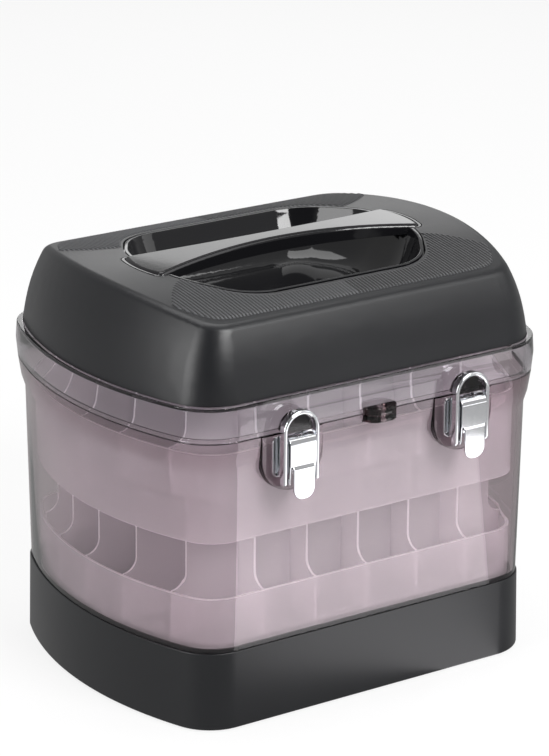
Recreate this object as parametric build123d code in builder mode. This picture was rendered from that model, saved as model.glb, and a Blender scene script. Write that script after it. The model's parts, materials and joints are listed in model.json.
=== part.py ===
"""Carrying case for nail polish: clear tub in a black base, two divided trays, hinged lid with handle.

Millimetres. X runs along the front from left to right, -Y is the front, +Z is up. The origin is the
centre of the plan outline on the surface that the case stands on.
"""

from build123d import *
import os
from math import sqrt

# Plan outline that base, tub, trays and lid share: straight front and back, bowed ends
half_depth = 102.8
corner_half_length = 110.0
end_bow = 24.2
corner_radius = 29.0

# Heights: the base above the table, every other part above or below the edge that carries it
foot_drop = 0.8
base_top = 46.8
tub_height = 125.0
collar_drop = 19.0
collar_waist_drop = 12.0
rim_height = 20.4
crown_rise = 50.8

# How far each wall stands outside the plan outline, negative inside it
base_foot_grow = -0.8
base_top_grow = -1.6
tub_foot_grow = -2.3
tub_head_grow = -0.9
collar_waist_grow = 0.9
collar_grow = 2.4
rim_bulge_grow = 3.2
rim_top_grow = 2.6
cover_foot_grow = -0.2

# Walls and clearances
base_wall = 2.0
base_floor = 2.6
tub_wall = 2.0
tub_floor = 2.5
rim_wall = 2.2
cover_wall = 2.4
seat_gap = 0.2
parting_gap = 0.2
running_gap = 0.05
slip_gap = 0.4
overrun = 2.0

# Base and feet
base_edge_radius = 1.0
plug_depth = 24.5
post_radius = 5.5
post_inset_x = 18.0
post_inset_y = 47.8
foot_radius = 7.0
foot_sink = 1.5
foot_inset_x = 30.0
foot_inset_y = 20.8
foot_bevel = 0.4

# Screws that join base to tub, rim to cover and well to bar
screw_radius = 1.5
screw_head_radius = 3.3
screw_head_height = 2.2
screw_bite = 7.0
screw_boss_cap = 1.5
screw_head_depth = 8.0

# Tub lip inside the lid
lip_height = 2.4
lip_wall = 1.4

# Trays and dividers
tray_skirt = 25.0
tray_low_wall = 28.0
tray_wall = 1.6
tray_floor = 1.8
tray_stack = 86.0
divider_thickness = 1.6
divider_setback = 8.7
divider_pitch = 35.0
divider_ranks = (-2, -1, 0, 1, 2)
divider_headroom = 2.2
lap_share = 0.5

# Hinge at the back of the parting line
hinge_inset = 48.0
hinge_stand = 7.2
hinge_length = 40.0
hinge_middle_length = 20.0
knuckle_radius = 4.3
knuckle_web = 14.0
knuckle_root_stand = 0.6
pin_radius = 1.6
pin_bevel = 0.4

# Padlock lugs at the middle of the front
lug_width = 21.5
lug_stand = 10.0
lug_round_share = 0.8
lug_height = 4.0
lug_bore_radius = 2.75
lug_bore_share = 0.56

# Toggle latches on the front, as stand-offs from the wall and drops below the parting line
latch_inset = 52.0
pad_half_width = 20.0
pad_round_drop = 14.0
pad_stand = 3.4
pad_sink = 1.6
plate_thickness = 1.2
plate_width = 28.0
plate_low_drop = 24.0
plate_high_drop = 0.6
plate_corner_radius = 4.0
lever_pivot_stand = 5.0
lever_pivot_drop = 4.0
lever_width = 17.0
lever_sheet = 1.2
lever_eye_radius = 4.5
lever_shoulder_drop = 12.3
lever_step = 1.1
lever_step_drop = 1.5
tab_drop = 31.5
tab_flare = 1.2
tab_width = 13.5
tab_round_share = 0.45
ear_thickness = 1.4
ear_eye_radius = 2.9
ear_high_drop = 9.0
ear_low_drop = 18.0
pivot_pin_radius = 1.5
bail_pivot_step = 0.6
bail_pivot_drop = 21.0
bail_arch_rise = 2.8
bail_inner_radius = 9.4
bail_band = 2.3
bail_depth = 5.0
bail_eye_radius = 2.8
bail_stub_radius = 1.1
bail_foot_radius = 2.4
bail_edge_radius = 0.9
rivet_radius = 1.5
rivet_head_radius = 2.6
rivet_head_height = 1.1
rivet_length = 4.0
rivet_low_drop = 20.0
rivet_high_drop = 13.0
keeper_radius = 9.0
keeper_foot_rise = 1.7
keeper_setback = 0.4
keeper_root_stand = 0.8

# Lid rim and its upstand inside the cover
rim_bulge_rise = 10.8
rim_web = 2.4
upstand_wall = 1.8
upstand_height = 8.4
upstand_lean = 1.4
gusset_radius = 9.0
gusset_thickness = 2.5
cover_boss_radius = 4.0
cover_boss_inset_x = 10.5
cover_boss_inset_y = 14.5
cover_boss_depth = 12.0

# Cover crown and leaning sides, as rises above the rim and grows up the wall
crown_fall = 8.8
crown_reach = 91.7
cover_edge_radius = 6.5
cover_haunch_rise = 15.4
cover_haunch_grow = -2.5
cover_shoulder_rise = 29.4
cover_shoulder_grow = -6.0
cover_brow_rise = 44.4
cover_brow_grow = -11.8
cover_apex_rise = 56.4
cover_apex_grow = -17.5

# Finger well and carry bar
well_end_inset = 7.0
well_end_margin = 6.0
well_half_width = 67.0
well_side_half_length = 60.0
well_side_radius = 35.0
well_end_radius = 60.0
well_depth = 30.8
well_floor = 2.2
well_wall = 2.0
well_rise_shares = (0.0, 0.08, 0.3, 0.6, 1.0)
well_draw_shares = (1.0, 0.7, 0.4, 0.18, 0.0)
well_draw = 24.0
well_flange = 5.0
well_flange_thickness = 1.6
bar_end = 92.0
bar_end_bow = 4.0
bar_seat_length = 14.0
bar_corner_radius = 3.0
bar_end_half_width = 20.0
bar_waist_half_width = 7.0
bar_end_rise = 0.3
bar_rise = 4.8
bar_end_sink = 5.0
bar_sink = 4.0
bar_edge_radius = 2.4
bar_seat_wall = 2.0
bar_screw_inset = 4.0
bar_screw_share = 0.6
bar_screw_bite = 3.6

# Places worked out from the values above
plug_grow = base_top_grow - base_wall - seat_gap
tub_bottom = base_top - plug_depth
tub_floor_top = tub_bottom + tub_floor
plug_inner_grow = plug_grow - tub_wall + seat_gap
tray_grow = plug_inner_grow - slip_gap
tray_inner_grow = tray_grow - tray_wall
lower_floor = tub_floor_top + tray_skirt
upper_floor = lower_floor + tray_stack
lower_divider_height = tray_stack - tray_floor
parting = base_top + tub_height
collar_foot = parting - collar_drop
collar_waist = parting - collar_waist_drop
lid_foot = parting + parting_gap
rim_bulge_z = lid_foot + rim_bulge_rise
rim_top = lid_foot + rim_height
crown_top = rim_top + crown_rise
post_x = corner_half_length - post_inset_x
post_y = half_depth - post_inset_y
foot_x = corner_half_length - foot_inset_x
foot_y = half_depth - foot_inset_y
rim_inner_grow = collar_grow - rim_wall
lip_grow = rim_inner_grow - slip_gap
lip_inner_grow = lip_grow - lip_wall
upstand_grow = cover_foot_grow - cover_wall - seat_gap
upstand_inner_grow = upstand_grow - upstand_wall
upstand_top = rim_top + upstand_height
cover_boss_x = corner_half_length - cover_boss_inset_x
cover_boss_y = half_depth - cover_boss_inset_y
crown_radius = (crown_reach**2 + crown_fall**2) / (2 * crown_fall)
pad_reach = half_depth + pad_stand
pad_root = half_depth - pad_sink
plate_reach = pad_reach + plate_thickness
lever_pivot_reach = plate_reach + lever_pivot_stand
bail_pivot_reach = lever_pivot_reach + bail_pivot_step
keeper_reach = bail_pivot_reach - keeper_setback
keeper_root = half_depth + keeper_root_stand
latch_x = corner_half_length - latch_inset
pad_round_z = parting - pad_round_drop
plate_low = parting - plate_low_drop
plate_high = parting - plate_high_drop
lever_pivot_z = parting - lever_pivot_drop
bail_pivot_z = lever_pivot_z - bail_pivot_drop
rivet_z = (parting - rivet_low_drop, parting - rivet_high_drop)
bail_arch_z = lid_foot + bail_arch_rise
keeper_foot = lid_foot + keeper_foot_rise
lug_bore_reach = half_depth + lug_stand * lug_bore_share
hinge_x = corner_half_length - hinge_inset
hinge_y = half_depth + hinge_stand
knuckle_root = half_depth + knuckle_root_stand
hinge_z = parting + parting_gap / 2
knuckle_length = (hinge_length - hinge_middle_length) / 2
hole_radius = screw_radius + running_gap
bar_shoulder = bar_end - bar_end_bow
bar_seat_x = bar_end - bar_seat_length
bar_screw_x = bar_end - bar_screw_inset
bar_screw_y = bar_end_half_width * bar_screw_share
bar_top_end = crown_top + bar_end_rise
bar_top_middle = crown_top + bar_rise
bar_under_end = crown_top - bar_end_sink
bar_under_middle = crown_top - bar_sink
well_half_length = bar_end - well_end_inset
well_end_half_width = bar_end_half_width + well_end_margin
well_floor_z = crown_top - well_depth
upper_divider_height = well_floor_z - well_floor - divider_headroom - upper_floor

os.makedirs("parts", exist_ok=True)


def plan(height, grow):
    """The plan outline at a height, moved outwards by grow."""
    x = corner_half_length + grow
    y = half_depth + grow
    with BuildSketch(Plane.XY.offset(height)) as outline:
        with BuildLine():
            Line((x, y), (-x, y))
            ThreePointArc((-x, y), (-x - end_bow, 0), (-x, -y))
            Line((-x, -y), (x, -y))
            ThreePointArc((x, -y), (x + end_bow, 0), (x, y))
        make_face()
        fillet(outline.vertices(), corner_radius + grow)
    return outline.sketch


def end_reach(grow, y):
    """How far the bowed end of the outline lies from the middle, at a distance y off the long axis."""
    half_chord = half_depth + grow
    radius = (half_chord**2 + end_bow**2) / (2 * end_bow)
    return corner_half_length + grow + end_bow - radius + sqrt(radius**2 - y**2)


def save(piece, name):
    """Label the piece and write its file."""
    piece.part.label = name
    export_step(piece.part, f"parts/{name}.step")


def screw(x, y, head_z, tip_z):
    """A pan-head screw that points up, with its head below head_z."""
    with BuildPart() as piece:
        with BuildSketch(Plane((x, y, head_z - screw_head_height))):
            Circle(screw_head_radius)
        extrude(amount=screw_head_height)
        fillet(piece.edges().group_by(Axis.Z)[0], screw_head_height / 2)
        with BuildSketch(Plane((x, y, head_z))):
            Circle(screw_radius)
        extrude(amount=tip_z - head_z)
        chamfer(piece.edges().group_by(Axis.Z)[-1], screw_radius / 2)
    return piece.part


# Base shoe: a black dish whose wall leans in, with a post for each screw and a pocket for each foot
base_floor_top = foot_drop + base_floor
post_seat = tub_bottom - screw_boss_cap - screw_head_depth
with BuildPart() as base_shoe:
    loft([plan(foot_drop, base_foot_grow), plan(base_top, base_top_grow)], ruled=True)
    fillet(base_shoe.edges().group_by(Axis.Z)[0], base_edge_radius)
    loft(
        [plan(base_floor_top, base_foot_grow - base_wall), plan(base_top, base_top_grow - base_wall)],
        ruled=True,
        mode=Mode.SUBTRACT,
    )
    with BuildSketch(Plane.XY.offset(base_floor_top)):
        with GridLocations(2 * post_x, 2 * post_y, 2, 2):
            Circle(post_radius)
    extrude(amount=tub_bottom - base_floor_top)
    with BuildSketch(Plane.XY.offset(foot_drop)):
        with GridLocations(2 * post_x, 2 * post_y, 2, 2):
            Circle(screw_head_radius + slip_gap)
    extrude(amount=post_seat - foot_drop, mode=Mode.SUBTRACT)
    with BuildSketch(Plane.XY.offset(foot_drop)):
        with GridLocations(2 * post_x, 2 * post_y, 2, 2):
            Circle(hole_radius)
    extrude(amount=tub_bottom - foot_drop, mode=Mode.SUBTRACT)
    with BuildSketch(Plane.XY.offset(foot_drop)):
        with GridLocations(2 * foot_x, 2 * foot_y, 2, 2):
            Circle(foot_radius + seat_gap)
    extrude(amount=foot_sink, mode=Mode.SUBTRACT)
save(base_shoe, "base_shoe")

# Rubber feet pressed into the base's pockets
for side, x in (("left", -foot_x), ("right", foot_x)):
    for end, y in (("front", -foot_y), ("rear", foot_y)):
        with BuildPart() as foot:
            with BuildSketch(Plane((x, y, 0))):
                Circle(foot_radius)
            extrude(amount=foot_drop + foot_sink)
            chamfer(foot.edges().group_by(Axis.Z)[0], foot_bevel)
        save(foot, f"foot_{end}_{side}")

# Screws that hold the floor plate down on the base's posts
with BuildPart() as base_screws:
    for x in (-post_x, post_x):
        for y in (-post_y, post_y):
            add(screw(x, y, post_seat, tub_bottom + screw_bite))
save(base_screws, "base_screws")


def knuckle(x, root_z):
    """A hinge knuckle's section at x, with a gusset that runs to root_z on the wall."""
    with BuildSketch(Plane.YZ.offset(x)) as section:
        with Locations((hinge_y, hinge_z)):
            Circle(knuckle_radius)
        with BuildLine():
            Polyline(
                (knuckle_root, root_z),
                (hinge_y + knuckle_radius, hinge_z),
                (knuckle_root, hinge_z),
                close=True,
            )
        make_face()
    return section.sketch


def lug(height):
    """The padlock lug's outline at a height, reaching from inside the wall to its rounded nose."""
    with BuildSketch(Plane.XY.offset(height)) as outline:
        with Locations((0, -half_depth)):
            RectangleRounded(lug_width, 2 * lug_stand, lug_stand * lug_round_share)
    return outline.sketch


# Tub: clear wall that steps into the base, widens upwards and flares into a collar
with BuildPart() as body_tub:
    extrude(plan(tub_bottom, plug_grow), amount=plug_depth)
    loft([plan(base_top, tub_foot_grow), plan(collar_foot, tub_head_grow)], ruled=True)
    loft([plan(collar_foot, tub_head_grow), plan(collar_waist, collar_waist_grow)], ruled=True)
    loft([plan(collar_waist, collar_waist_grow), plan(parting, collar_grow)], ruled=True)
    extrude(plan(parting, lip_grow), amount=lip_height)
    with BuildSketch(Plane.XZ.offset(pad_reach)):
        with Locations((-latch_x, pad_round_z), (latch_x, pad_round_z)):
            Circle(pad_half_width)
            Rectangle(2 * pad_half_width, parting - pad_round_z, align=(Align.CENTER, Align.MIN))
        with Locations((0, parting)):
            Rectangle(
                2 * corner_half_length,
                pad_half_width,
                align=(Align.CENTER, Align.MIN),
                mode=Mode.SUBTRACT,
            )
    extrude(amount=pad_root - pad_reach)
    extrude(lug(parting - lug_height), amount=lug_height)
    for centre in (-hinge_x, hinge_x):
        extrude(knuckle(centre - hinge_length / 2, parting - knuckle_web), amount=knuckle_length)
        extrude(knuckle(centre + hinge_middle_length / 2, parting - knuckle_web), amount=knuckle_length)
    extrude(plan(tub_bottom, plug_inner_grow), amount=plug_depth + tub_wall, mode=Mode.SUBTRACT)
    loft(
        [plan(base_top + tub_wall, tub_foot_grow - tub_wall), plan(collar_foot, tub_head_grow - tub_wall)],
        ruled=True,
        mode=Mode.SUBTRACT,
    )
    loft(
        [plan(collar_foot, tub_head_grow - tub_wall), plan(parting + lip_height, lip_inner_grow)],
        ruled=True,
        mode=Mode.SUBTRACT,
    )
    with BuildSketch(Plane.YZ.offset(-hinge_x - hinge_length)):
        with Locations((hinge_y, hinge_z)):
            Circle(pin_radius + running_gap)
    extrude(amount=2 * (hinge_x + hinge_length), mode=Mode.SUBTRACT)
    with BuildSketch(Plane.XY.offset(parting)):
        with Locations((0, -lug_bore_reach)):
            Circle(lug_bore_radius)
    extrude(amount=-lug_height, mode=Mode.SUBTRACT)
    with BuildSketch(Plane.XZ.offset(pad_reach)):
        for z in rivet_z:
            with Locations((-latch_x, z), (latch_x, z)):
                Circle(rivet_radius + running_gap)
    extrude(amount=-rivet_length, mode=Mode.SUBTRACT)
save(body_tub, "body_tub")

# Floor plate: clear floor inside the tub's foot, with a boss over each of the base's posts
with BuildPart() as floor_plate:
    extrude(plan(tub_bottom, plug_inner_grow - seat_gap), amount=tub_floor)
    with BuildSketch(Plane.XY.offset(tub_floor_top)):
        with GridLocations(2 * post_x, 2 * post_y, 2, 2):
            Circle(post_radius)
    extrude(amount=screw_bite + screw_boss_cap - tub_floor)
    with BuildSketch(Plane.XY.offset(tub_bottom)):
        with GridLocations(2 * post_x, 2 * post_y, 2, 2):
            Circle(hole_radius)
    extrude(amount=screw_bite, mode=Mode.SUBTRACT)
save(floor_plate, "floor_plate")

# Hinge pins
for side, centre in (("left", -hinge_x), ("right", hinge_x)):
    pin_start = (centre - hinge_length / 2, hinge_y, hinge_z)
    with BuildPart() as hinge_pin:
        with BuildSketch(Plane(pin_start, x_dir=(0, 1, 0), z_dir=(1, 0, 0))):
            Circle(pin_radius)
        extrude(amount=hinge_length)
        chamfer(hinge_pin.edges().filter_by(GeomType.CIRCLE), pin_bevel)
    save(hinge_pin, f"hinge_pin_{side}")


def tray(floor):
    """A tray whose floor lies inside its wall: a skirt below the floor and a low wall above it."""
    with BuildPart() as piece:
        extrude(plan(floor - tray_skirt, tray_grow), amount=tray_skirt + tray_low_wall)
        extrude(plan(floor, tray_inner_grow), amount=tray_low_wall, mode=Mode.SUBTRACT)
        extrude(plan(floor - tray_skirt, tray_inner_grow), amount=tray_skirt - tray_floor, mode=Mode.SUBTRACT)
    return piece


def divider(plane, reach, height, laps, laps_open_up):
    """A divider plate: scooped in at both ends above the tray's low wall, halved where it crosses others."""
    lap = height * lap_share
    with BuildPart() as piece:
        with BuildSketch(plane):
            with BuildLine():
                Polyline((0, 0), (reach, 0), (reach, tray_low_wall))
                scoop = JernArc((reach, tray_low_wall), (-1, 0), divider_setback, -90)
                Polyline(scoop @ 1, (reach - divider_setback, height), (0, height))
                mirror(about=Plane.YZ)
            make_face()
            for place in laps:
                with Locations((place, lap if laps_open_up else 0)):
                    Rectangle(
                        divider_thickness + seat_gap,
                        height - lap if laps_open_up else lap,
                        align=(Align.CENTER, Align.MIN),
                        mode=Mode.SUBTRACT,
                    )
        extrude(amount=divider_thickness / 2, both=True)
    return piece


# Trays with their dividers: cross plates run front to back, long plates run end to end
ranks = [rank * divider_pitch for rank in divider_ranks]
for level, floor, height in (
    ("lower", lower_floor, lower_divider_height),
    ("upper", upper_floor, upper_divider_height),
):
    save(tray(floor), f"{level}_tray")
    for number, place in enumerate(ranks, 1):
        cross_plane = Plane((place, 0, floor), x_dir=(0, 1, 0), z_dir=(1, 0, 0))
        cross_reach = half_depth + tray_inner_grow - seat_gap
        save(divider(cross_plane, cross_reach, height, ranks, True), f"{level}_cross_divider_{number}")
        long_plane = Plane((0, place, floor), x_dir=(1, 0, 0), z_dir=(0, -1, 0))
        long_reach = end_reach(tray_inner_grow, abs(place) + divider_thickness) - seat_gap
        save(divider(long_plane, long_reach, height, ranks, False), f"{level}_long_divider_{number}")

# Lid rim: clear band with the keepers, a padlock lug, knuckles and an upstand inside the cover
with BuildPart() as lid_rim:
    loft([plan(lid_foot, collar_grow), plan(rim_bulge_z, rim_bulge_grow)], ruled=True)
    loft([plan(rim_bulge_z, rim_bulge_grow), plan(rim_top, rim_top_grow)], ruled=True)
    loft([plan(rim_top, upstand_grow), plan(upstand_top, upstand_grow - upstand_lean)], ruled=True)
    with BuildSketch(Plane.XZ.offset(keeper_reach)):
        with Locations((-latch_x, bail_arch_z), (latch_x, bail_arch_z)):
            Circle(keeper_radius)
        with Locations((0, keeper_foot)):
            Rectangle(
                2 * corner_half_length,
                2 * keeper_radius,
                align=(Align.CENTER, Align.MAX),
                mode=Mode.SUBTRACT,
            )
    extrude(amount=keeper_root - keeper_reach)
    extrude(lug(lid_foot), amount=lug_height)
    for centre in (-hinge_x, hinge_x):
        start = centre - hinge_middle_length / 2 + seat_gap
        extrude(knuckle(start, parting + knuckle_web), amount=hinge_middle_length - 2 * seat_gap)
    extrude(plan(lid_foot, rim_inner_grow), amount=rim_top - rim_web - lid_foot, mode=Mode.SUBTRACT)
    extrude(plan(rim_top - rim_web, upstand_inner_grow), amount=rim_web, mode=Mode.SUBTRACT)
    loft(
        [plan(rim_top, upstand_inner_grow), plan(upstand_top, upstand_inner_grow - upstand_lean)],
        ruled=True,
        mode=Mode.SUBTRACT,
    )
    with BuildSketch(Plane.XY.offset(rim_top)) as gussets:
        with GridLocations(2 * cover_boss_x, 2 * cover_boss_y, 2, 2):
            Circle(gusset_radius)
        add(plan(0, upstand_grow), mode=Mode.INTERSECT)
    extrude(amount=gusset_thickness)
    with BuildSketch(Plane.XY.offset(rim_top)):
        with GridLocations(2 * cover_boss_x, 2 * cover_boss_y, 2, 2):
            Circle(hole_radius)
    extrude(amount=gusset_thickness, mode=Mode.SUBTRACT)
    with BuildSketch(Plane.YZ.offset(-hinge_x - hinge_length)):
        with Locations((hinge_y, hinge_z)):
            Circle(pin_radius + running_gap)
    extrude(amount=2 * (hinge_x + hinge_length), mode=Mode.SUBTRACT)
    with BuildSketch(Plane.XY.offset(lid_foot)):
        with Locations((0, -lug_bore_reach)):
            Circle(lug_bore_radius)
    extrude(amount=lug_height, mode=Mode.SUBTRACT)
save(lid_rim, "lid_rim")


def crown(drop, thickness):
    """The section of a sheet that follows the crown of the cover, its top lying drop below the crown."""
    with BuildSketch(Plane.YZ.offset(-2 * corner_half_length)) as section:
        with Locations((0, crown_top - crown_radius)):
            Circle(crown_radius - drop)
            if thickness:
                Circle(crown_radius - drop - thickness, mode=Mode.SUBTRACT)
        with Locations((0, rim_top - overrun)):
            Rectangle(4 * half_depth, crown_top, align=(Align.CENTER, Align.MIN), mode=Mode.INTERSECT)
    return section.sketch


def cover_form(inset):
    """The cover's leaning, crowned form, moved inwards by inset."""
    stations = (
        (rim_top, cover_foot_grow),
        (rim_top + cover_haunch_rise, cover_haunch_grow),
        (rim_top + cover_shoulder_rise, cover_shoulder_grow),
        (rim_top + cover_brow_rise, cover_brow_grow),
        (rim_top + cover_apex_rise, cover_apex_grow),
    )
    with BuildPart() as form:
        loft([plan(height, grow - inset) for height, grow in stations])
        extrude(crown(inset, 0), amount=4 * corner_half_length, mode=Mode.INTERSECT)
    return form


def well_outline(height, grow):
    """The finger well's outline: wide in the middle, drawn in to the bar at both ends."""
    with BuildSketch(Plane.XY.offset(height)) as outline:
        with BuildLine():
            Polyline(
                (well_half_length, -well_end_half_width),
                (well_half_length, well_end_half_width),
                (well_side_half_length, well_half_width),
                (-well_side_half_length, well_half_width),
                (-well_half_length, well_end_half_width),
                (-well_half_length, -well_end_half_width),
                (-well_side_half_length, -well_half_width),
                (well_side_half_length, -well_half_width),
                close=True,
            )
        make_face()
        rows = outline.vertices().group_by(Axis.Y)
        fillet(rows[0] + rows[-1], well_side_radius)
        columns = outline.vertices().group_by(Axis.X)
        fillet(columns[0] + columns[-1], well_end_radius)
        if grow:
            offset(amount=grow)
    return outline.sketch


def well_bowl(inset, drop):
    """The well as a solid bowl that rounds into its floor, moved inwards by inset and deepened by drop."""
    depth = well_depth + drop
    with BuildPart() as bowl:
        loft(
            [
                well_outline(crown_top - depth * (1 - rise), -inset - well_draw * draw)
                for rise, draw in zip(well_rise_shares, well_draw_shares)
            ]
        )
    return bowl.part


def bar_outline(height, grow):
    """The carry bar's outline from above: waisted in the middle, with blunt arched ends."""
    x = bar_shoulder + grow
    y = bar_end_half_width + grow
    end = bar_end + grow
    waist = bar_waist_half_width + grow
    with BuildSketch(Plane.XY.offset(height)) as outline:
        with BuildLine():
            ThreePointArc((-x, y), (0, waist), (x, y))
            ThreePointArc((x, y), (end, 0), (x, -y))
            ThreePointArc((x, -y), (0, -waist), (-x, -y))
            ThreePointArc((-x, -y), (-end, 0), (-x, y))
        make_face()
        fillet(outline.vertices(), bar_corner_radius + grow)
    return outline.sketch


# Cover: crowned black shell with four screw bosses and an opening for the well and the bar's ends
with BuildPart() as cover_room:
    add(cover_form(cover_wall).part)
    with BuildSketch(Plane.XY.offset(rim_top + gusset_thickness)):
        with GridLocations(2 * cover_boss_x, 2 * cover_boss_y, 2, 2):
            Circle(cover_boss_radius)
    extrude(amount=crown_top - rim_top, mode=Mode.SUBTRACT)
with BuildPart() as top_cover:
    add(cover_form(0).part)
    fillet(top_cover.faces().sort_by(Axis.Z)[-1].edges(), cover_edge_radius)
    add(cover_room.part, mode=Mode.SUBTRACT)
    extrude(well_outline(well_floor_z, seat_gap), amount=crown_top - well_floor_z, mode=Mode.SUBTRACT)
    extrude(
        bar_outline(well_floor_z, bar_seat_wall + seat_gap),
        amount=crown_top - well_floor_z,
        mode=Mode.SUBTRACT,
    )
    with BuildSketch(Plane.XY.offset(rim_top + gusset_thickness)):
        with GridLocations(2 * cover_boss_x, 2 * cover_boss_y, 2, 2):
            Circle(hole_radius)
    extrude(amount=cover_boss_depth, mode=Mode.SUBTRACT)
save(top_cover, "top_cover")

# Screws that pull the cover down on the rim's gussets
with BuildPart() as cover_screws:
    for x in (-cover_boss_x, cover_boss_x):
        for y in (-cover_boss_y, cover_boss_y):
            add(screw(x, y, rim_top, rim_top + gusset_thickness + cover_boss_depth - seat_gap))
save(cover_screws, "cover_screws")

# Finger well: glossy bowl under the cover, with a flange below the crown and a seat for each bar end
seat_foot = bar_under_end - well_floor
with BuildPart() as well_collar:
    extrude(well_outline(well_floor_z, well_flange), amount=crown_top - well_floor_z)
    extrude(bar_outline(well_floor_z, bar_seat_wall + well_flange), amount=crown_top - well_floor_z)
    extrude(
        crown(cover_wall + running_gap, well_flange_thickness),
        amount=4 * corner_half_length,
        mode=Mode.INTERSECT,
    )
with BuildPart() as handle_well:
    with BuildSketch(Plane.XY.offset(seat_foot)) as bar_seats:
        add(bar_outline(0, bar_seat_wall))
        Rectangle(2 * bar_seat_x, 4 * bar_end_half_width, mode=Mode.SUBTRACT)
    extrude(amount=bar_top_middle - seat_foot)
    add(well_bowl(0, well_floor))
    extrude(crown(0, 0), amount=4 * corner_half_length, mode=Mode.INTERSECT)
    add(well_collar.part)
    add(well_bowl(well_wall, 0), mode=Mode.SUBTRACT)
    extrude(bar_outline(bar_under_end, seat_gap), amount=bar_top_middle - bar_under_end, mode=Mode.SUBTRACT)
    with BuildSketch(Plane.XY.offset(seat_foot)):
        with GridLocations(2 * bar_screw_x, 2 * bar_screw_y, 2, 2):
            Circle(hole_radius)
    extrude(amount=well_floor, mode=Mode.SUBTRACT)
save(handle_well, "handle_well")

# Carry bar: waisted from above, arched from the side, let into the well's seats at both ends
bar_far = bar_end + overrun
with BuildPart() as handle_bar:
    extrude(bar_outline(bar_under_end, 0), amount=bar_top_middle - bar_under_end)
    with BuildSketch(Plane.XZ):
        with BuildLine():
            ThreePointArc((-bar_far, bar_top_end), (0, bar_top_middle), (bar_far, bar_top_end))
            Line((bar_far, bar_top_end), (bar_far, bar_under_end))
            ThreePointArc((bar_far, bar_under_end), (0, bar_under_middle), (-bar_far, bar_under_end))
            Line((-bar_far, bar_under_end), (-bar_far, bar_top_end))
        make_face()
    extrude(amount=2 * bar_end_half_width, both=True, mode=Mode.INTERSECT)
    fillet(handle_bar.faces().sort_by(Axis.Z)[-1].edges(), bar_edge_radius)
    with BuildSketch(Plane.XY.offset(bar_under_end)):
        with GridLocations(2 * bar_screw_x, 2 * bar_screw_y, 2, 2):
            Circle(hole_radius)
    extrude(amount=bar_screw_bite, mode=Mode.SUBTRACT)
save(handle_bar, "handle_bar")

# Screws that hold the bar down in its seats
with BuildPart() as handle_screws:
    for x in (-bar_screw_x, bar_screw_x):
        for y in (-bar_screw_y, bar_screw_y):
            add(screw(x, y, seat_foot, bar_under_end + bar_screw_bite - seat_gap))
save(handle_screws, "handle_screws")

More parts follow.
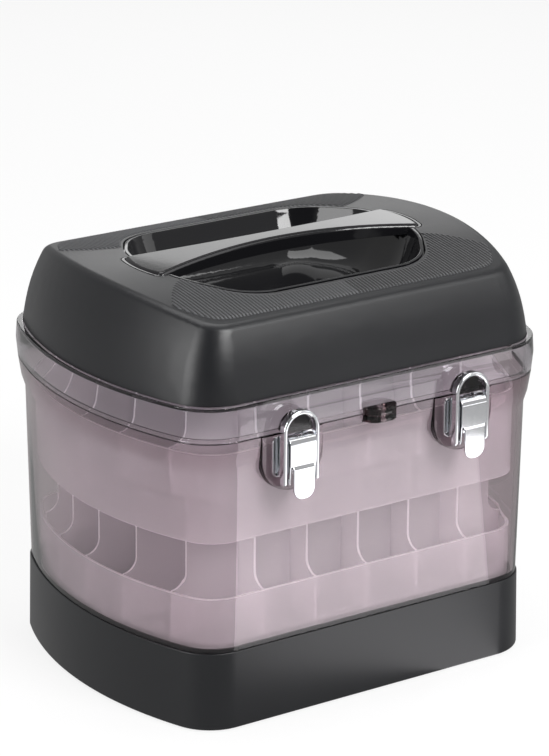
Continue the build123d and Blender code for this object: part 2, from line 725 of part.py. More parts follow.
# Toggle latches: a riveted plate with ears, a pin, a sheet lever and the bail that hooks over the keeper
cheek_inner = lever_width / 2 - lever_sheet
ear_outer = cheek_inner - seat_gap
lever_front = lever_pivot_reach + lever_eye_radius
shoulder_z = lever_pivot_z - lever_shoulder_drop
tab_z = lever_pivot_z - tab_drop
bail_outer_radius = bail_inner_radius + bail_band
bail_foot = bail_pivot_z - bail_eye_radius
for side, x in (("left", -latch_x), ("right", latch_x)):
    with BuildPart() as latch_plate:
        with BuildSketch(Plane.XZ.offset(pad_reach)):
            with Locations((x, (plate_low + plate_high) / 2)):
                RectangleRounded(plate_width, plate_high - plate_low, plate_corner_radius)
            with Locations([(x, z) for z in rivet_z]):
                Circle(rivet_radius + running_gap, mode=Mode.SUBTRACT)
        extrude(amount=plate_thickness)
        for ear_x in (x - ear_outer, x + ear_outer - ear_thickness):
            with BuildSketch(Plane.YZ.offset(ear_x)):
                with Locations((-lever_pivot_reach, lever_pivot_z)):
                    Circle(ear_eye_radius)
                with BuildLine():
                    Polyline(
                        (-lever_pivot_reach - ear_eye_radius, lever_pivot_z),
                        (-lever_pivot_reach, lever_pivot_z),
                        (-plate_reach, lever_pivot_z - ear_high_drop),
                        (-plate_reach, lever_pivot_z - ear_low_drop),
                        close=True,
                    )
                make_face()
                with Locations((-lever_pivot_reach, lever_pivot_z)):
                    Circle(pivot_pin_radius + running_gap, mode=Mode.SUBTRACT)
            extrude(amount=ear_thickness)
    save(latch_plate, f"{side}_latch_plate")

    with BuildPart() as latch_rivets:
        for z in rivet_z:
            with BuildSketch(Plane.XZ.offset(plate_reach)):
                with Locations((x, z)):
                    Circle(rivet_head_radius)
            extrude(amount=rivet_head_height)
        fillet(latch_rivets.faces().group_by(Axis.Y)[0].edges(), rivet_head_height / 2)
        with BuildSketch(Plane.XZ.offset(plate_reach)):
            with Locations([(x, z) for z in rivet_z]):
                Circle(rivet_radius)
        extrude(amount=-plate_thickness - rivet_length)
    save(latch_rivets, f"{side}_latch_rivets")

    with BuildPart() as latch_pin:
        pin_half = lever_width / 2 + seat_gap
        with BuildSketch(
            Plane((x - pin_half, -lever_pivot_reach, lever_pivot_z), x_dir=(0, 1, 0), z_dir=(1, 0, 0))
        ):
            Circle(pivot_pin_radius)
        extrude(amount=2 * pin_half)
    save(latch_pin, f"{side}_latch_pin")

    with BuildPart() as latch_lever:
        with BuildSketch(Plane.YZ.offset(x - lever_width / 2)):
            with BuildLine():
                brow_start = (-lever_pivot_reach, lever_pivot_z + lever_eye_radius)
                brow = JernArc(brow_start, (-1, 0), lever_eye_radius, 90)
                Polyline(
                    brow @ 1,
                    (-lever_front, shoulder_z),
                    (-lever_front - lever_step, shoulder_z - lever_step_drop),
                    (-lever_front - tab_flare, tab_z),
                )
                offset(amount=lever_sheet, side=Side.LEFT)
            make_face()
        extrude(amount=lever_width)
        with BuildSketch(Plane.XZ.offset(lever_pivot_reach)) as front_view:
            with Locations((x, tab_z)):
                Rectangle(tab_width, tab_drop, align=(Align.CENTER, Align.MIN))
            fillet(front_view.vertices().group_by(Axis.Y)[0], tab_width * tab_round_share)
            with Locations((x, shoulder_z)):
                Rectangle(lever_width, lever_width, align=(Align.CENTER, Align.MIN))
        extrude(amount=lever_width, both=True, mode=Mode.INTERSECT)
        for cheek_x in (x - lever_width / 2, x + cheek_inner):
            with BuildSketch(Plane.YZ.offset(cheek_x)):
                with Locations((-lever_pivot_reach, lever_pivot_z)):
                    Circle(lever_eye_radius)
                with Locations((-bail_pivot_reach, bail_pivot_z)):
                    Circle(bail_eye_radius)
                make_hull()
                with Locations((-lever_pivot_reach, lever_pivot_z)):
                    Circle(pivot_pin_radius + running_gap, mode=Mode.SUBTRACT)
                with Locations((-bail_pivot_reach, bail_pivot_z)):
                    Circle(bail_stub_radius + running_gap, mode=Mode.SUBTRACT)
            extrude(amount=lever_sheet)
    save(latch_lever, f"{side}_latch_lever")

    with BuildPart() as latch_bail:
        with BuildSketch(Plane.XZ.offset(bail_pivot_reach - bail_depth / 2)):
            for radius, mode in ((bail_outer_radius, Mode.ADD), (bail_inner_radius, Mode.SUBTRACT)):
                with Locations((x, bail_arch_z)):
                    Circle(radius, mode=mode)
                    Rectangle(2 * radius, bail_arch_z - bail_foot, align=(Align.CENTER, Align.MAX), mode=mode)
        extrude(amount=bail_depth)
        fillet(latch_bail.edges().filter_by(Axis.X).group_by(Axis.Z)[0], bail_foot_radius)
        fillet(latch_bail.faces().sort_by(Axis.Y)[0].edges(), bail_edge_radius)
        for stub_x in (x - bail_inner_radius - bail_band / 2, x + cheek_inner):
            with BuildSketch(Plane.YZ.offset(stub_x)):
                with Locations((-bail_pivot_reach, bail_pivot_z)):
                    Circle(bail_stub_radius)
            extrude(amount=bail_inner_radius + bail_band / 2 - cheek_inner)
    save(latch_bail, f"{side}_latch_bail")
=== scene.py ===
"""Nail polish case: finishes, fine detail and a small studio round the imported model, in metres."""

import bpy
import json
import math
from mathutils import Matrix, Vector

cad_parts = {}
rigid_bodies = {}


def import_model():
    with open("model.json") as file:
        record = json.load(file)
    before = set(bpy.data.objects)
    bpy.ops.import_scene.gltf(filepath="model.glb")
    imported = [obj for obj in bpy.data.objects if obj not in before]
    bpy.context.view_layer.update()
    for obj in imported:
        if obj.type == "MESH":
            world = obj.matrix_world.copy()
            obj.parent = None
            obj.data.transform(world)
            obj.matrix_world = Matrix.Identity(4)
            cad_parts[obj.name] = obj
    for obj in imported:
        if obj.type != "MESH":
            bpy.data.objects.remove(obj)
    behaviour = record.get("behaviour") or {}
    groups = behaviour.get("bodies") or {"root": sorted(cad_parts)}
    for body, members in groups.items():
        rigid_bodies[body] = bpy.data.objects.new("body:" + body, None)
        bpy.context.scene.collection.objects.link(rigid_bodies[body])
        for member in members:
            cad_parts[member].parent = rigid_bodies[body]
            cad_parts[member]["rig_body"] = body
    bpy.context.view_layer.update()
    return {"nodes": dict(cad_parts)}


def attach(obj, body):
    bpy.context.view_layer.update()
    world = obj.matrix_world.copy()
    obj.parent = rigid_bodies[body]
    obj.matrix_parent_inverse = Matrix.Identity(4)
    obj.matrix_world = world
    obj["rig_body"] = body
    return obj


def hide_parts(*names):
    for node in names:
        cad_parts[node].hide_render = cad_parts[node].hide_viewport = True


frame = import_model()

# Studio. A pale floor in a white surround, lit by soft boxes on all sides. In reflections the surround
# is dimmer, the room behind the camera is dark, and two bright cards lie on the floor before the case.
bpy.context.scene.view_settings.view_transform = "Standard"
floor_half_size = 9.0
floor_colour = (0.86, 0.86, 0.86, 1)
floor_roughness = 0.9
floor_white_share = 0.8
floor_in_reflections = 0.45
seen_white = 1.0
room_light = 0.42
dark_room_level = 0.05
dark_room_direction = Vector((-0.52, -0.80, 0.30)).normalized()
dark_room_start = 0.72
dark_room_full = 0.93

bpy.ops.object.select_all(action="DESELECT")
bpy.ops.mesh.primitive_plane_add(size=2 * floor_half_size, location=(0, 0, 0))
studio_floor = bpy.context.object
studio_floor.name = "studio_floor"


def new_material(name):
    """A material with a Principled shader on its surface, and both of its main nodes."""
    material = bpy.data.materials.new(name)
    material.use_nodes = True
    nodes = material.node_tree.nodes
    return material, nodes["Principled BSDF"], nodes["Material Output"]


def seen_share(tree):
    """A socket that is 1 for rays that look straight or through clear plastic, and its path node."""
    path = tree.nodes.new("ShaderNodeLightPath")
    seen = tree.nodes.new("ShaderNodeMath")
    seen.operation = "ADD"
    seen.use_clamp = True
    tree.links.new(path.outputs["Is Camera Ray"], seen.inputs[0])
    tree.links.new(path.outputs["Is Transmission Ray"], seen.inputs[1])
    return seen.outputs[0], path


floor_finish, floor_shader, floor_output = new_material("studio_floor_finish")
floor_tree = floor_finish.node_tree
floor_shader.inputs["Base Color"].default_value = floor_colour
floor_shader.inputs["Roughness"].default_value = floor_roughness
floor_glow = floor_tree.nodes.new("ShaderNodeEmission")
floor_glow.inputs["Strength"].default_value = seen_white
floor_mix = floor_tree.nodes.new("ShaderNodeMixShader")
floor_seen, floor_path = seen_share(floor_tree)
floor_share = floor_tree.nodes.new("ShaderNodeMath")
floor_share.operation = "MULTIPLY"
floor_share.inputs[1].default_value = floor_white_share
floor_tree.links.new(floor_seen, floor_share.inputs[0])
floor_tree.links.new(floor_share.outputs[0], floor_mix.inputs["Fac"])
floor_tree.links.new(floor_shader.outputs[0], floor_mix.inputs[1])
floor_tree.links.new(floor_glow.outputs[0], floor_mix.inputs[2])
floor_sheen = floor_tree.nodes.new("ShaderNodeEmission")
floor_sheen.inputs["Strength"].default_value = floor_in_reflections
floor_reflected = floor_tree.nodes.new("ShaderNodeMixShader")
floor_tree.links.new(floor_path.outputs["Is Glossy Ray"], floor_reflected.inputs["Fac"])
floor_tree.links.new(floor_mix.outputs[0], floor_reflected.inputs[1])
floor_tree.links.new(floor_sheen.outputs[0], floor_reflected.inputs[2])
floor_tree.links.new(floor_reflected.outputs[0], floor_output.inputs["Surface"])
studio_floor.data.materials.append(floor_finish)

world = bpy.data.worlds.new("studio_surround")
bpy.context.scene.world = world
world.use_nodes = True
world_tree = world.node_tree
world_light = world_tree.nodes["Background"]
world_light.inputs["Strength"].default_value = room_light
world_seen = world_tree.nodes.new("ShaderNodeBackground")
world_seen.inputs["Color"].default_value = (1, 1, 1, 1)
world_seen.inputs["Strength"].default_value = seen_white
world_mix = world_tree.nodes.new("ShaderNodeMixShader")
surround_seen, surround_path = seen_share(world_tree)
direction = world_tree.nodes.new("ShaderNodeTexCoord")
facing = world_tree.nodes.new("ShaderNodeVectorMath")
facing.operation = "DOT_PRODUCT"
facing.inputs[1].default_value = dark_room_direction
dark_room = world_tree.nodes.new("ShaderNodeMapRange")
dark_room.interpolation_type = "SMOOTHSTEP"
dark_room.inputs["From Min"].default_value = dark_room_start
dark_room.inputs["From Max"].default_value = dark_room_full
dark_room.inputs["To Min"].default_value = 1.0
dark_room.inputs["To Max"].default_value = dark_room_level
glossy_only = world_tree.nodes.new("ShaderNodeMix")
glossy_only.data_type = "FLOAT"
glossy_only.inputs[2].default_value = 1.0
world_tree.links.new(direction.outputs["Generated"], facing.inputs[0])
world_tree.links.new(facing.outputs["Value"], dark_room.inputs["Value"])
world_tree.links.new(surround_path.outputs["Is Glossy Ray"], glossy_only.inputs[0])
world_tree.links.new(dark_room.outputs["Result"], glossy_only.inputs[3])
world_tree.links.new(glossy_only.outputs[0], world_light.inputs["Color"])
world_tree.links.new(surround_seen, world_mix.inputs["Fac"])
world_tree.links.new(world_light.outputs[0], world_mix.inputs[1])
world_tree.links.new(world_seen.outputs[0], world_mix.inputs[2])
world_tree.links.new(world_mix.outputs[0], world_tree.nodes["World Output"].inputs["Surface"])

look_centre = Vector((0, 0, 0.12))
soft_boxes = (
    ("left_soft_box", (-1.6, -0.1, 0.55), 0.7, 1.2, 15),
    ("front_soft_box", (0.3, -1.7, 1.3), 1.0, 0.8, 36),
    ("right_soft_box", (1.35, -0.9, 1.1), 0.9, 1.3, 5),
    ("overhead_soft_box", (0.1, 0.3, 1.7), 1.4, 0.9, 12),
    ("rear_soft_box", (0.955, 1.40, 0.70), 0.7, 0.475, 1.6),
)
for name, place, width, height, power in soft_boxes:
    lamp = bpy.data.lights.new(name, "AREA")
    lamp.shape = "RECTANGLE"
    lamp.size = width
    lamp.size_y = height
    lamp.energy = power
    stand = bpy.data.objects.new(name, lamp)
    stand.location = place
    stand.rotation_mode = "QUATERNION"
    stand.rotation_quaternion = (look_centre - stand.location).to_track_quat("-Z", "Y")
    bpy.context.scene.collection.objects.link(stand)

card_turn = math.radians(35.2)
card_colour = (1, 0.985, 1, 1)
card_strength = 2.3
card_lift = 0.0005
card_finish, card_shader, card_output = new_material("bounce_card_glow")
card_tree = card_finish.node_tree
card_tree.nodes.remove(card_shader)
card_clear = card_tree.nodes.new("ShaderNodeBsdfTransparent")
card_glow = card_tree.nodes.new("ShaderNodeEmission")
card_glow.inputs["Color"].default_value = card_colour
card_glow.inputs["Strength"].default_value = card_strength
card_path = card_tree.nodes.new("ShaderNodeLightPath")
card_mix = card_tree.nodes.new("ShaderNodeMixShader")
card_tree.links.new(card_path.outputs["Is Glossy Ray"], card_mix.inputs["Fac"])
card_tree.links.new(card_clear.outputs[0], card_mix.inputs[1])
card_tree.links.new(card_glow.outputs[0], card_mix.inputs[2])
card_tree.links.new(card_mix.outputs[0], card_output.inputs["Surface"])
for name, place, width, length in (
    ("near_card", (0.136, -0.307, card_lift), 0.165, 0.43),
    ("far_card", (0.48, -0.77, card_lift), 0.23, 0.34),
):
    bpy.ops.object.select_all(action="DESELECT")
    bpy.ops.mesh.primitive_plane_add(size=1, location=place, rotation=(0, 0, card_turn))
    card = bpy.context.object
    card.name = name
    card.scale = (width, length, 1)
    card.data.materials.append(card_finish)

camera_azimuth = math.radians(-33.8261)
camera_elevation = math.radians(23.6248)
camera_distance = 1.99479
camera_tilt = 0.0745
camera_pan = 0.0004
camera_roll = 0.006
camera_lens = 158.894
camera_sensor = 36.0
camera_reach = 20.0
camera_lift = Vector((0, 0, 0.0028))
back = Vector((
    math.sin(camera_azimuth) * math.cos(camera_elevation),
    -math.cos(camera_azimuth) * math.cos(camera_elevation),
    math.sin(camera_elevation),
))
camera_data = bpy.data.cameras.new("catalogue_camera")
camera_data.lens = camera_lens
camera_data.sensor_width = camera_sensor
camera_data.clip_end = camera_reach
camera = bpy.data.objects.new("catalogue_camera", camera_data)
turned = (-back).to_track_quat("-Z", "Y").to_matrix().to_4x4()
turned = turned @ Matrix.Rotation(-camera_pan, 4, "Y") @ Matrix.Rotation(camera_tilt, 4, "X")
turned = turned @ Matrix.Rotation(camera_roll, 4, "Z")
camera.matrix_world = Matrix.Translation(back * camera_distance + camera_lift) @ turned
bpy.context.scene.collection.objects.link(camera)
bpy.context.scene.camera = camera

# Base shoe. A dish moulded in black plastic with a fine eroded grain, which carries the clear tub. Its
# top edge is eased by the mould, and its four posts take screws from below.
base_edge = 0.0005
corner_angle = math.radians(34)
edge_segments = 2
flat_face_weight = 80
weld_distance = 0.000002
flat_angle = math.radians(0.4)
black_colour = (0.0055, 0.0059, 0.0074, 1)
black_roughness = 0.37
grain_scale = 1500.0
grain_depth = 0.00003
grain_detail = 3.0
grain_roughness = 0.6
cloud_scale = 22.0
cloud_detail = 4.0
black_mottle = 0.04
tone_spread = 0.15


def select_only(piece):
    """Make the piece the one selected, active object."""
    bpy.ops.object.select_all(action="DESELECT")
    piece.select_set(True)
    bpy.context.view_layer.objects.active = piece


def ease(piece, width):
    """Round off the piece's sharp edges and shade what is curved smoothly."""
    select_only(piece)
    if width:
        rounding = piece.modifiers.new("eased_edges", "BEVEL")
        rounding.width = width
        rounding.segments = edge_segments
        rounding.limit_method = "ANGLE"
        rounding.angle_limit = corner_angle
        rounding.use_clamp_overlap = False
        bpy.ops.object.modifier_apply(modifier=rounding.name)
    bpy.ops.object.shade_smooth_by_angle(angle=corner_angle)
    flat_faces = piece.modifiers.new("flat_faces", "WEIGHTED_NORMAL")
    flat_faces.keep_sharp = True
    flat_faces.weight = flat_face_weight
    bpy.ops.object.modifier_apply(modifier=flat_faces.name)


def dress(node, edge, finish):
    """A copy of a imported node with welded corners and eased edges, which stands for that node."""
    source = frame["nodes"][node]
    piece = bpy.data.objects.new(f"{node}_moulding", source.data.copy())
    bpy.context.scene.collection.objects.link(piece)
    select_only(piece)
    bpy.ops.object.mode_set(mode="EDIT")
    bpy.ops.mesh.select_all(action="SELECT")
    bpy.ops.mesh.remove_doubles(threshold=weld_distance)
    bpy.ops.mesh.dissolve_limited(angle_limit=flat_angle)
    bpy.ops.object.mode_set(mode="OBJECT")
    ease(piece, edge)
    piece.data.materials.clear()
    piece.data.materials.append(finish)
    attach(piece, source["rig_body"])
    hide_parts(node)
    return piece


def moulded_grain_group():
    """Fine grain of an eroded mould: a height, and a share that mottles colour and roughness."""
    group = bpy.data.node_groups.new("moulded_grain", "ShaderNodeTree")
    group.interface.new_socket("Scale", in_out="INPUT", socket_type="NodeSocketFloat")
    group.interface.new_socket("Height", in_out="OUTPUT", socket_type="NodeSocketFloat")
    group.interface.new_socket("Mottle", in_out="OUTPUT", socket_type="NodeSocketFloat")
    entry = group.nodes.new("NodeGroupInput")
    exit_node = group.nodes.new("NodeGroupOutput")
    place = group.nodes.new("ShaderNodeTexCoord")
    grain = group.nodes.new("ShaderNodeTexNoise")
    grain.inputs["Detail"].default_value = grain_detail
    grain.inputs["Roughness"].default_value = grain_roughness
    cloud = group.nodes.new("ShaderNodeTexNoise")
    cloud.inputs["Scale"].default_value = cloud_scale
    cloud.inputs["Detail"].default_value = cloud_detail
    group.links.new(place.outputs["Object"], grain.inputs["Vector"])
    group.links.new(place.outputs["Object"], cloud.inputs["Vector"])
    group.links.new(entry.outputs["Scale"], grain.inputs["Scale"])
    group.links.new(grain.outputs["Fac"], exit_node.inputs["Height"])
    group.links.new(cloud.outputs["Fac"], exit_node.inputs["Mottle"])
    return group


moulded_grain = moulded_grain_group()


def moulded(name, colour, roughness, scale, depth, mottle):
    """An opaque moulded finish with grain: colour and roughness wander a little over the surface."""
    material, shader, _ = new_material(name)
    tree = material.node_tree
    grain = tree.nodes.new("ShaderNodeGroup")
    grain.node_tree = moulded_grain
    grain.inputs["Scale"].default_value = scale
    bump = tree.nodes.new("ShaderNodeBump")
    bump.inputs["Strength"].default_value = 1.0
    bump.inputs["Distance"].default_value = depth
    rough = tree.nodes.new("ShaderNodeMapRange")
    rough.inputs["To Min"].default_value = roughness - mottle
    rough.inputs["To Max"].default_value = roughness + mottle
    tone = tree.nodes.new("ShaderNodeMix")
    tone.data_type = "RGBA"
    tone.inputs[6].default_value = [(1 - tone_spread) * c for c in colour[:3]] + [1]
    tone.inputs[7].default_value = [(1 + tone_spread) * c for c in colour[:3]] + [1]
    tree.links.new(grain.outputs["Height"], bump.inputs["Height"])
    tree.links.new(bump.outputs["Normal"], shader.inputs["Normal"])
    tree.links.new(grain.outputs["Mottle"], rough.inputs["Value"])
    tree.links.new(rough.outputs["Result"], shader.inputs["Roughness"])
    tree.links.new(grain.outputs["Mottle"], tone.inputs[0])
    tree.links.new(tone.outputs[2], shader.inputs["Base Color"])
    return material


black_moulding = moulded(
    "black_moulding", black_colour, black_roughness, grain_scale, grain_depth, black_mottle
)
dress("base_shoe", base_edge, black_moulding)

# Feet and base screws. Four rubber pads pressed into pockets under the base, and pan-head steel screws
# that pull the floor plate, and the tub with it, down on the base's posts.
foot_edge = 0.0003
unrounded = 0
rubber_colour = (0.02, 0.02, 0.02, 1)
rubber_roughness = 0.75
rubber_grain_scale = 700.0
rubber_grain_depth = 0.00008
rubber_mottle = 0.06
steel_colour = (0.56, 0.56, 0.58, 1)
steel_roughness = 0.22
steel_spread = 0.12
handling_scale = 400.0
rubber = moulded(
    "foot_rubber", rubber_colour, rubber_roughness, rubber_grain_scale, rubber_grain_depth, rubber_mottle
)
for end in ("front", "rear"):
    for side in ("left", "right"):
        dress(f"foot_{end}_{side}", foot_edge, rubber)


def metal(name, colour, roughness, spread):
    """A metal finish whose roughness wanders with faint handling marks."""
    material, shader, _ = new_material(name)
    tree = material.node_tree
    shader.inputs["Base Color"].default_value = colour
    shader.inputs["Metallic"].default_value = 1.0
    grain = tree.nodes.new("ShaderNodeGroup")
    grain.node_tree = moulded_grain
    grain.inputs["Scale"].default_value = handling_scale
    rough = tree.nodes.new("ShaderNodeMapRange")
    rough.inputs["To Min"].default_value = roughness
    rough.inputs["To Max"].default_value = roughness + spread
    tree.links.new(grain.outputs["Height"], rough.inputs["Value"])
    tree.links.new(rough.outputs["Result"], shader.inputs["Roughness"])
    return material


steel = metal("plain_steel", steel_colour, steel_roughness, steel_spread)
dress("base_screws", unrounded, steel)

# Tub. A clear wall in a thin smoky tint that deepens where light runs along it, held down in the base by
# a floor plate of the same plastic. Its foot is painted black like the base round it, as painted shade
# in the seam. It carries pads for the latches, half of the hinge, and a padlock lug. The lug and the
# level faces at the parting line take a darker tint, painted shade.
tub_edge = 0.0004
pin_edge = 0.0001
shaded_foot_height = 0.0469
parting = 0.1718
parting_reach = 0.0006
level_face = 0.9
lug_root = 0.1066
lug_half_width = 0.0115
smoke_tint = (0.98, 0.965, 0.972, 1)
smoke_depth_colour = (0.53, 0.415, 0.45, 1)
smoke_density = 205.0
smoke_roughness = 0.0
painted_shade_tint = (0.58, 0.48, 0.49, 1)
deep_roughness = 0.05
plastic_ior = 1.49


def clear_plastic(name, tint, depth_colour, density, roughness):
    """Clear tinted plastic that lamps shine through, and that tints light which runs along the wall."""
    material, shader, output = new_material(name)
    tree = material.node_tree
    shader.inputs["Base Color"].default_value = tint
    shader.inputs["Roughness"].default_value = roughness
    shader.inputs["IOR"].default_value = plastic_ior
    shader.inputs["Transmission Weight"].default_value = 1.0
    pass_light = tree.nodes.new("ShaderNodeBsdfTransparent")
    pass_light.inputs["Color"].default_value = tint
    path = tree.nodes.new("ShaderNodeLightPath")
    mix = tree.nodes.new("ShaderNodeMixShader")
    depth = tree.nodes.new("ShaderNodeVolumeAbsorption")
    depth.inputs["Color"].default_value = depth_colour
    depth.inputs["Density"].default_value = density
    tree.links.new(path.outputs["Is Shadow Ray"], mix.inputs["Fac"])
    tree.links.new(shader.outputs[0], mix.inputs[1])
    tree.links.new(pass_light.outputs[0], mix.inputs[2])
    tree.links.new(mix.outputs[0], output.inputs["Surface"])
    tree.links.new(depth.outputs[0], output.inputs["Volume"])
    return material


def refinish(piece, finish, chosen):
    """Give the facets that the chosen test picks a finish of their own."""
    piece.data.materials.append(finish)
    for facet in piece.data.polygons:
        if chosen(facet):
            facet.material_index = len(piece.data.materials) - 1


def on_lug(facet):
    """Whether the facet stands out before the wall where the padlock lugs are."""
    return facet.center.y < -lug_root and abs(facet.center.x) < lug_half_width


def at_parting(facet, way):
    """Whether the facet is level, lies at the parting line and faces up, or down where way is -1."""
    return way * facet.normal.z > level_face and abs(facet.center.z - parting) < parting_reach


smoky_clear = clear_plastic(
    "smoky_clear", smoke_tint, smoke_depth_colour, smoke_density, smoke_roughness
)
# A darker tint of the same clear plastic, which paints shade on the padlock lugs and at the parting
# line.
painted_shade_smoke = clear_plastic("painted_shade_smoke", painted_shade_tint, smoke_depth_colour, smoke_density, deep_roughness)
tub = dress("body_tub", tub_edge, smoky_clear)
# The tub's clear foot below this height is painted black: painted shade in the seam at the base.
refinish(tub, black_moulding, lambda facet: facet.center.z < shaded_foot_height)
# The tub's half of the lug and its level faces at the parting line take the darker tint: painted shade.
refinish(tub, painted_shade_smoke, on_lug)
refinish(tub, painted_shade_smoke, lambda facet: at_parting(facet, 1))
dress("floor_plate", tub_edge, smoky_clear)
for side in ("left", "right"):
    dress(f"hinge_pin_{side}", pin_edge, steel)

# Trays and dividers. Two frosted trays stacked in the tub, each with a low wall and a skirt, and slotted
# plates that cross one another at half laps. Natural milky plastic. The cut edges are less see-through,
# so
# they show as bright lines: partly the denser scatter at a cut edge, partly a painted highlight.
plate_edge = 0.00025
dividers_each_way = 5
milk_colour = (0.93, 0.92, 0.945, 1)
milk_clear_tint = (0.97, 0.95, 0.96, 1)
milk_roughness = 0.45
milk_shine_share = 0.5
milk_see_through = 0.72
highlight_edge_see_through = 0.3
rim_reach = 0.0006
plate_side = 0.6


def milky_plastic(name, colour, see_through):
    """Frosted plastic: part scatters at the surface, part shines through, the rest is seen through."""
    material, shader, output = new_material(name)
    tree = material.node_tree
    shader.inputs["Base Color"].default_value = colour
    shader.inputs["Roughness"].default_value = milk_roughness
    shine_through = tree.nodes.new("ShaderNodeBsdfTranslucent")
    shine_through.inputs["Color"].default_value = colour
    scatter = tree.nodes.new("ShaderNodeMixShader")
    scatter.inputs["Fac"].default_value = milk_shine_share
    clear = tree.nodes.new("ShaderNodeBsdfTransparent")
    clear.inputs["Color"].default_value = milk_clear_tint
    mix = tree.nodes.new("ShaderNodeMixShader")
    mix.inputs["Fac"].default_value = see_through
    tree.links.new(shader.outputs[0], scatter.inputs[1])
    tree.links.new(shine_through.outputs[0], scatter.inputs[2])
    tree.links.new(scatter.outputs[0], mix.inputs[1])
    tree.links.new(clear.outputs[0], mix.inputs[2])
    tree.links.new(mix.outputs[0], output.inputs["Surface"])
    return material


milky = milky_plastic("milky_plastic", milk_colour, milk_see_through)
milky_edge_highlight = milky_plastic("milky_cut_edge_highlight", milk_colour, highlight_edge_see_through)
for level in ("lower", "upper"):
    tray = dress(f"{level}_tray", plate_edge, milky)
    heights = [corner.co.z for corner in tray.data.vertices]
    tray_low = min(heights) + rim_reach
    tray_high = max(heights) - rim_reach
    # The tray's top and bottom edges take the less see-through finish: partly real scatter, partly a
    # painted highlight.
    refinish(tray, milky_edge_highlight, lambda facet: not tray_low < facet.center.z < tray_high)
    for way, across in (("cross", 0), ("long", 1)):
        for number in range(1, dividers_each_way + 1):
            plate = dress(f"{level}_{way}_divider_{number}", plate_edge, milky)
            # The plate's cut edges take the less see-through finish: partly real scatter, partly a
            # painted highlight.
            refinish(plate, milky_edge_highlight, lambda facet: abs(facet.normal[across]) < plate_side)

# Lid rim. A clear band like the tub, a little more lilac, that carries the latch keepers, a padlock lug
# and the other half of the hinge. The keepers take a darker tint, painted shade, and the lug and the
# level faces at the parting line take the tub's darker tint, painted shade too. An upstand inside the
# cover and four gussets take the cover's screws.
lilac_depth_colour = (0.47, 0.42, 0.475, 1)
lilac_density = 120.0
lilac_roughness = 0.03
keeper_shade_tint = (0.8, 0.74, 0.77, 1)
lilac_clear = clear_plastic(
    "lilac_clear", smoke_tint, lilac_depth_colour, lilac_density, lilac_roughness
)
# A darker lilac tint that paints shade on the latch keepers.
keeper_shade_lilac = clear_plastic(
    "keeper_shade_lilac", keeper_shade_tint, lilac_depth_colour, lilac_density, deep_roughness
)
rim = dress("lid_rim", tub_edge, lilac_clear)
# The keepers, out in front of the rim, take the darker tint: painted shade.
refinish(rim, keeper_shade_lilac, lambda facet: facet.center.y < -lug_root)
# The rim's half of the lug and its level faces at the parting line take the darker tint: painted shade.
refinish(rim, painted_shade_smoke, on_lug)
refinish(rim, painted_shade_smoke, lambda facet: at_parting(facet, -1))
dress("cover_screws", unrounded, steel)

# Cover. A crowned black moulding with leaning sides and a soft top edge, in the same grain as the base.
# Two panels of fine ribs that run front to back lie on the crown, before and behind the handle well,
# and leave the ends of the crown smooth. The rib crests are painted lighter, a painted sheen, and the
# grooves darker, painted shade.
cover_edge = 0.0004
crown_top = 0.2432
crown_radius = 0.4822
crown_half_depth = 0.0868
crown_half_length = 0.1182
crown_end_radius = 0.1678
crown_corner_blend = 0.004
rib_pitch = 0.0022
rib_height = 0.0007
rib_lift = 0.00012
rib_sink = 0.0003
rib_border = 0.0016
rib_margin = 0.002
columns_per_rib = 6
panel_rows = 22
panel_half_length = 0.1066
panel_sweep = 1.5
well_half_width = 0.067
well_straight_half = 0.0404
well_corner_radius = 0.035
well_corner_centre = 0.032
well_slant_start = 0.0702
well_slant_reach = 0.0503
well_slant = 1.64
well_end_start = 0.0762
well_end_radius = 0.06
well_end_centre = (0.025, 0.0091)
# Painted sheen on the rib crests and painted shade in the grooves.
crest_sheen_colour = (0.055, 0.056, 0.06, 1)
crest_roughness = 0.36
groove_shade_colour = (0.003, 0.003, 0.0035, 1)
groove_roughness = 0.5
rib_crest_sheen = moulded("rib_crest_sheen", crest_sheen_colour, crest_roughness, grain_scale, grain_depth, black_mottle)
rib_groove_shade = moulded(
    "rib_groove_shade", groove_shade_colour, groove_roughness, grain_scale, grain_depth, black_mottle
)
dress("top_cover", cover_edge, black_moulding)


def crown_edge(x):
    """How far the flat of the crown reaches forwards or back from the long axis, at x."""
    run = abs(x) - crown_half_length + crown_end_radius
    end = math.sqrt(max(crown_end_radius**2 - run**2, 0))
    gap = crown_half_depth - end
    blend = crown_corner_blend * math.exp(-abs(gap) / (2 * crown_corner_blend))
    return min(crown_half_depth, end) - blend


def well_edge(x):
    """How far the handle well's rim stands from the long axis, at x: side, round corner, slant, end."""
    x = abs(x)
    if x < well_straight_half:
        return well_half_width
    if x < well_slant_start:
        return well_corner_centre + math.sqrt(well_corner_radius**2 - (x - well_straight_half)**2)
    if x < well_end_start:
        return well_slant_reach - well_slant * (x - well_slant_start)
    run = min(x - well_end_centre[0], well_end_radius)
    return well_end_centre[1] + math.sqrt(well_end_radius**2 - run**2)


def panel_edge(x, start, start_reach, climb):
    """The inner border of a ribbed panel: round the well, then out to the crown's edge past start."""
    if abs(x) < start:
        return max(well_edge(x) + rib_margin, start_reach)
    share = (abs(x) - start) / (panel_half_length - start)
    return start_reach + climb * share**panel_sweep


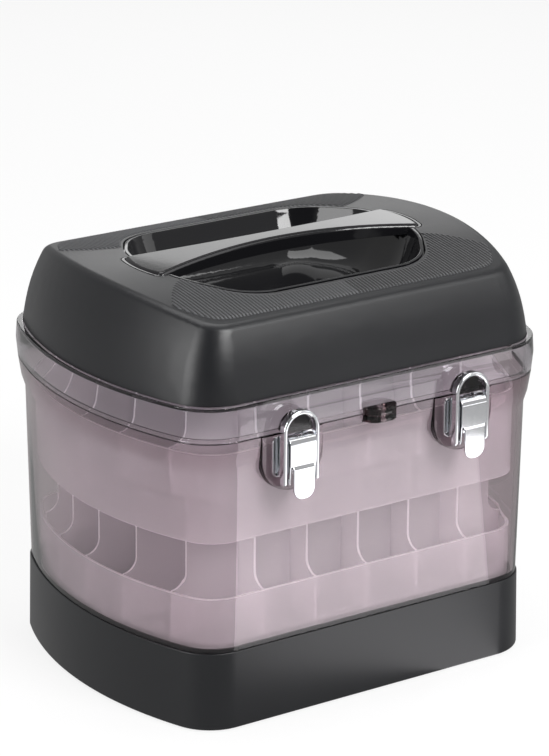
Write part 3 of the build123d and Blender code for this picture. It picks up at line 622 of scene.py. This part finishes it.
for name, way, start, start_reach, climb in (
    ("front_rib_panel", -1, 0.0815, 0.029, 0.031),
    ("rear_rib_panel", 1, 0.0765, 0.041, 0.019),
):
    columns = round(2 * panel_half_length / rib_pitch) * columns_per_rib
    bpy.ops.object.select_all(action="DESELECT")
    bpy.ops.mesh.primitive_grid_add(x_subdivisions=columns, y_subdivisions=panel_rows, size=2)
    panel = bpy.context.object
    panel.name = name
    for corner in panel.data.vertices:
        x = corner.co.x * panel_half_length
        inner = panel_edge(x, start, start_reach, climb)
        outer = max(crown_edge(x), inner)
        share = 0.5 - 0.5 * math.cos(math.pi * (corner.co.y + 1) / 2)
        reach = inner + share * (outer - inner)
        to_border = min(reach - inner, outer - reach, panel_half_length - abs(x))
        full = min(max(to_border / rib_border, 0), 1)
        wave = 0.5 - 0.5 * math.cos(2 * math.pi * x / rib_pitch)
        lift = (rib_lift + rib_sink + rib_height * wave) * full - rib_sink
        sag = crown_radius - math.sqrt(crown_radius**2 - reach**2)
        corner.co = (x, way * reach, crown_top - sag + lift)
    select_only(panel)
    bpy.ops.object.mode_set(mode="EDIT")
    bpy.ops.mesh.select_all(action="SELECT")
    bpy.ops.mesh.normals_make_consistent(inside=False)
    bpy.ops.object.mode_set(mode="OBJECT")
    bpy.ops.object.shade_smooth()
    if panel.data.polygons[len(panel.data.polygons) // 2].normal.z < 0:
        panel.data.flip_normals()
    # Crest facets take the lighter finish, a painted sheen; the grooves keep the darker one, painted
    # shade.
    panel.data.materials.append(rib_groove_shade)
    refinish(panel, rib_crest_sheen, lambda facet: math.cos(2 * math.pi * facet.center.x / rib_pitch) < 0)
    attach(panel, "lid")

# Handle well. A bowl moulded in polished black plastic and let into the cover, which leaves room for a
# grip round the bar above it.
bowl_edge = 0.0004
gloss_colour = (0.006, 0.006, 0.007, 1)
gloss_roughness = 0.07
gloss_grain_scale = 300.0
gloss_grain_depth = 0.000004
gloss_mottle = 0.02
gloss_black = moulded(
    "gloss_black", gloss_colour, gloss_roughness, gloss_grain_scale, gloss_grain_depth, gloss_mottle
)
dress("handle_well", bowl_edge, gloss_black)

# Carry bar. A waisted, arched bar moulded in the same polished black, seated at both ends of the well
# and held by steel screws from inside the lid.
bar_edge = 0.0003
dress("handle_bar", bar_edge, gloss_black)
dress("handle_screws", unrounded, steel)

# Latches. Bright plated steel toggles: a riveted plate with ears, a pin, a folded sheet lever with a
# thumb tab, and a strap bail that hooks over the keeper on the lid.
latch_edge = 0.00022
chrome_colour = (0.82, 0.83, 0.85, 1)
chrome_roughness = 0.05
chrome_spread = 0.06
chrome = metal("latch_chrome", chrome_colour, chrome_roughness, chrome_spread)
for side in ("left", "right"):
    for member in ("plate", "rivets", "pin", "lever", "bail"):
        dress(f"{side}_latch_{member}", latch_edge, chrome)
